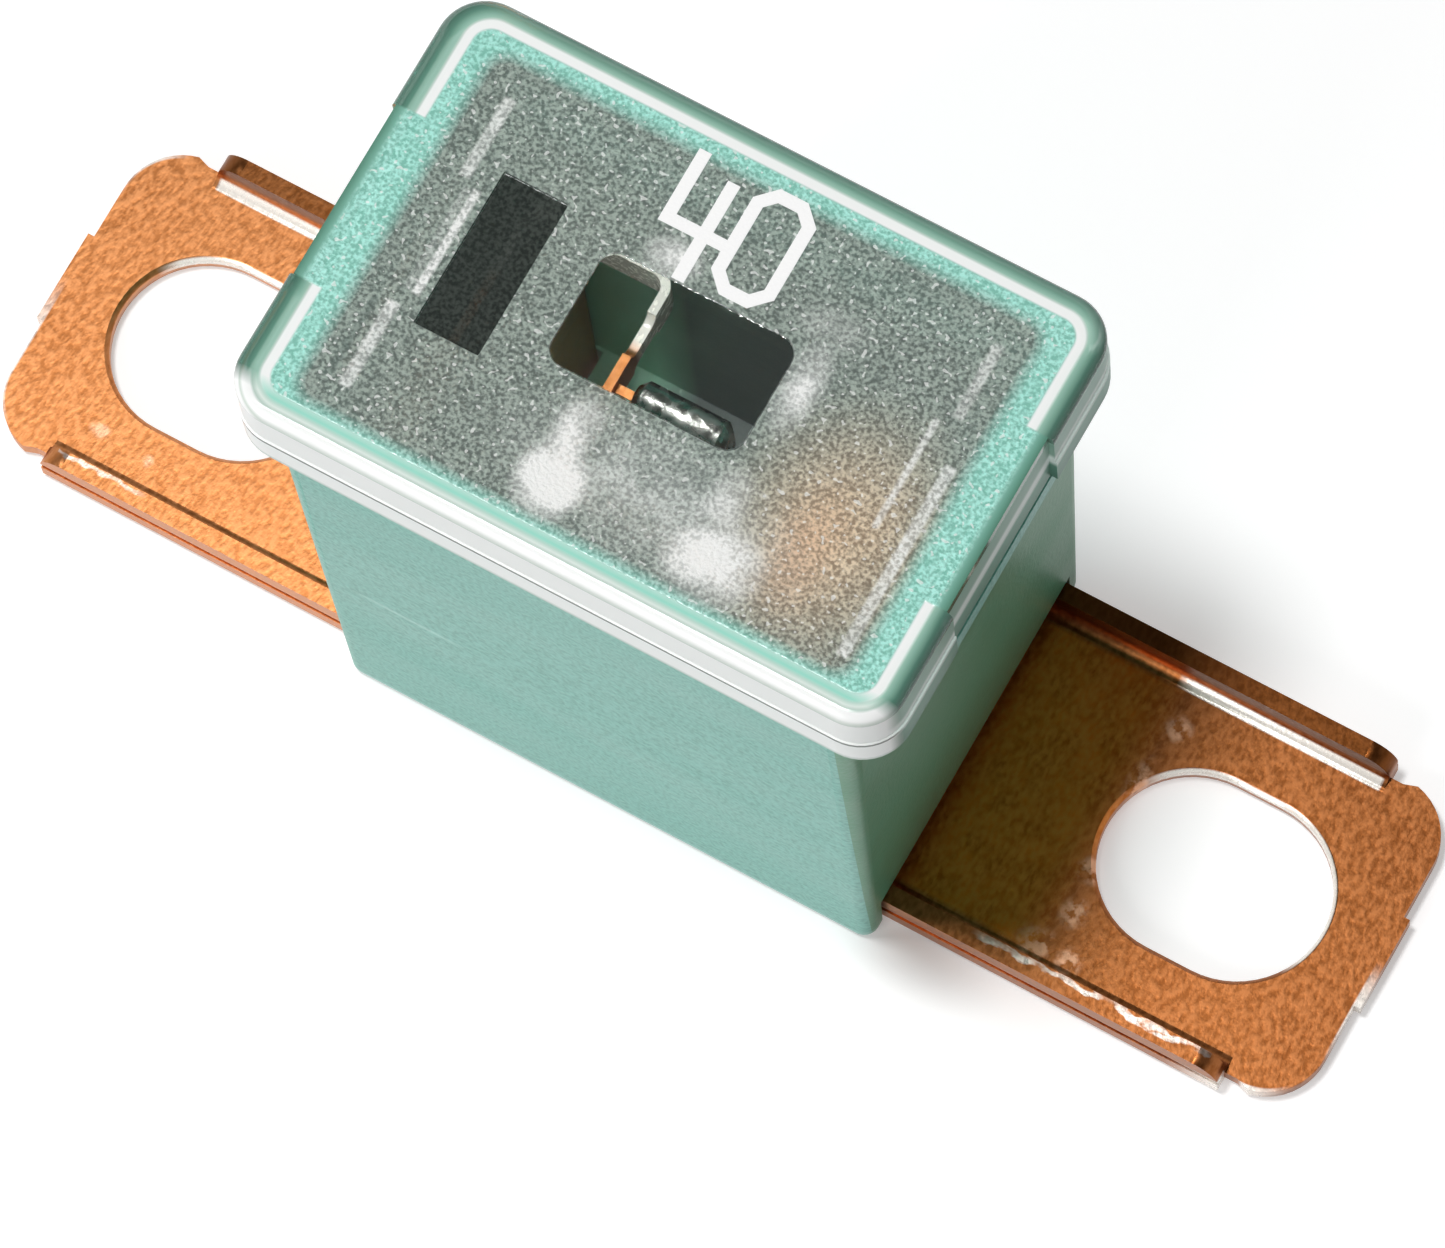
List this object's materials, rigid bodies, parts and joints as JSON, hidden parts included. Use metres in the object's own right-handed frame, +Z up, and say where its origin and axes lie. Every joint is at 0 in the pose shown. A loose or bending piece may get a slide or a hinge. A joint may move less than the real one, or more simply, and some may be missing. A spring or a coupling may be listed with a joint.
{
  "type": "bolt-in fusible link",
  "caption": "Fusible link with a moulded housing, a clear lid over a fusible strip, and slotted copper blades bolted down at both ends.",
  "frame": {"origin": "middle of the housing's underside, in the plane that the link rests on", "axes": "+X along the two blades, +Y to the housing's back, +Z up through the lid"},
  "size_m": [0.0486, 0.015, 0.0254],
  "materials": {
    "housing_plastic": "satin moulded plastic",
    "clear_plastic": "clear moulded plastic, frosted panel",
    "copper": "bare stamped copper",
    "tin": "soft bright tin"
  },
  "bodies": {
    "root": {"housing": "housing_plastic", "lid": "clear_plastic", "fuse_element": "copper", "tin_pellet": "tin"}
  },
  "joints": []
}
